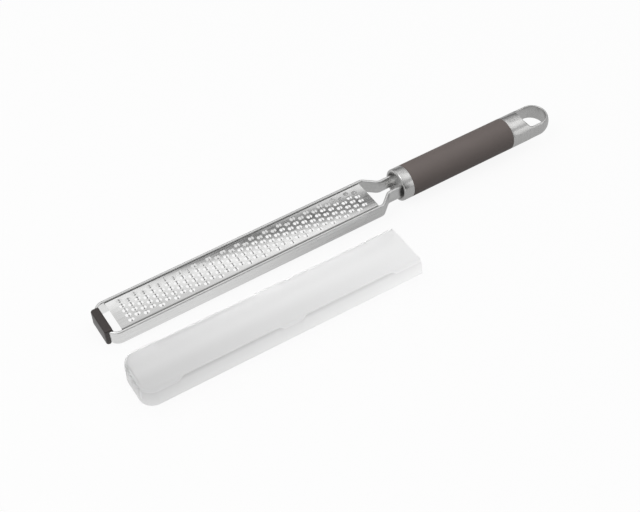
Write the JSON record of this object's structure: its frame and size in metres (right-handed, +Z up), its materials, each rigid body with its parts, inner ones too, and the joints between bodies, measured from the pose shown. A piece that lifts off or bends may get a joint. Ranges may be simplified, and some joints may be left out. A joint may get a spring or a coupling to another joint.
{
  "type": "rasp zester",
  "caption": "Long rasp zester: toothed blade in a bent strap frame, round handle with ferrule, grip and flattened hanging eye, rubber nose foot, loose blade cover beside it.",
  "frame": {"origin": "on the table, under the middle of the tool and cover's common box", "axes": "+X from the nose to the hanging eye, +Y from the cover to the tool, +Z up from the table"},
  "size_m": [0.3852, 0.0866, 0.0278],
  "materials": {
    "blade_steel": "fine satin, etched teeth",
    "frame_steel": "brushed along the strap",
    "foot_rubber": "matt",
    "handle_steel": "brushed round the handle",
    "grip_plastic": "soft-touch matt",
    "core_plastic": "moulded",
    "pin_steel": "drawn",
    "cover_plastic": "translucent, satin"
  },
  "bodies": {
    "zester": {"rasp_blade": "blade_steel", "blade_frame": "frame_steel", "nose_foot": "foot_rubber", "front_ferrule": "handle_steel", "grip_sleeve": "grip_plastic", "rear_cap": "handle_steel", "handle_core": "core_plastic", "tang_pins": "pin_steel"},
    "cover": {"blade_cover": "cover_plastic"}
  },
  "joints": [
    {"name": "cover_lift", "type": "slide", "parent": "zester", "child": "cover", "axis": [0, 0.6894, 0.7244], "range_m": [0, 0.0773]}
  ]
}
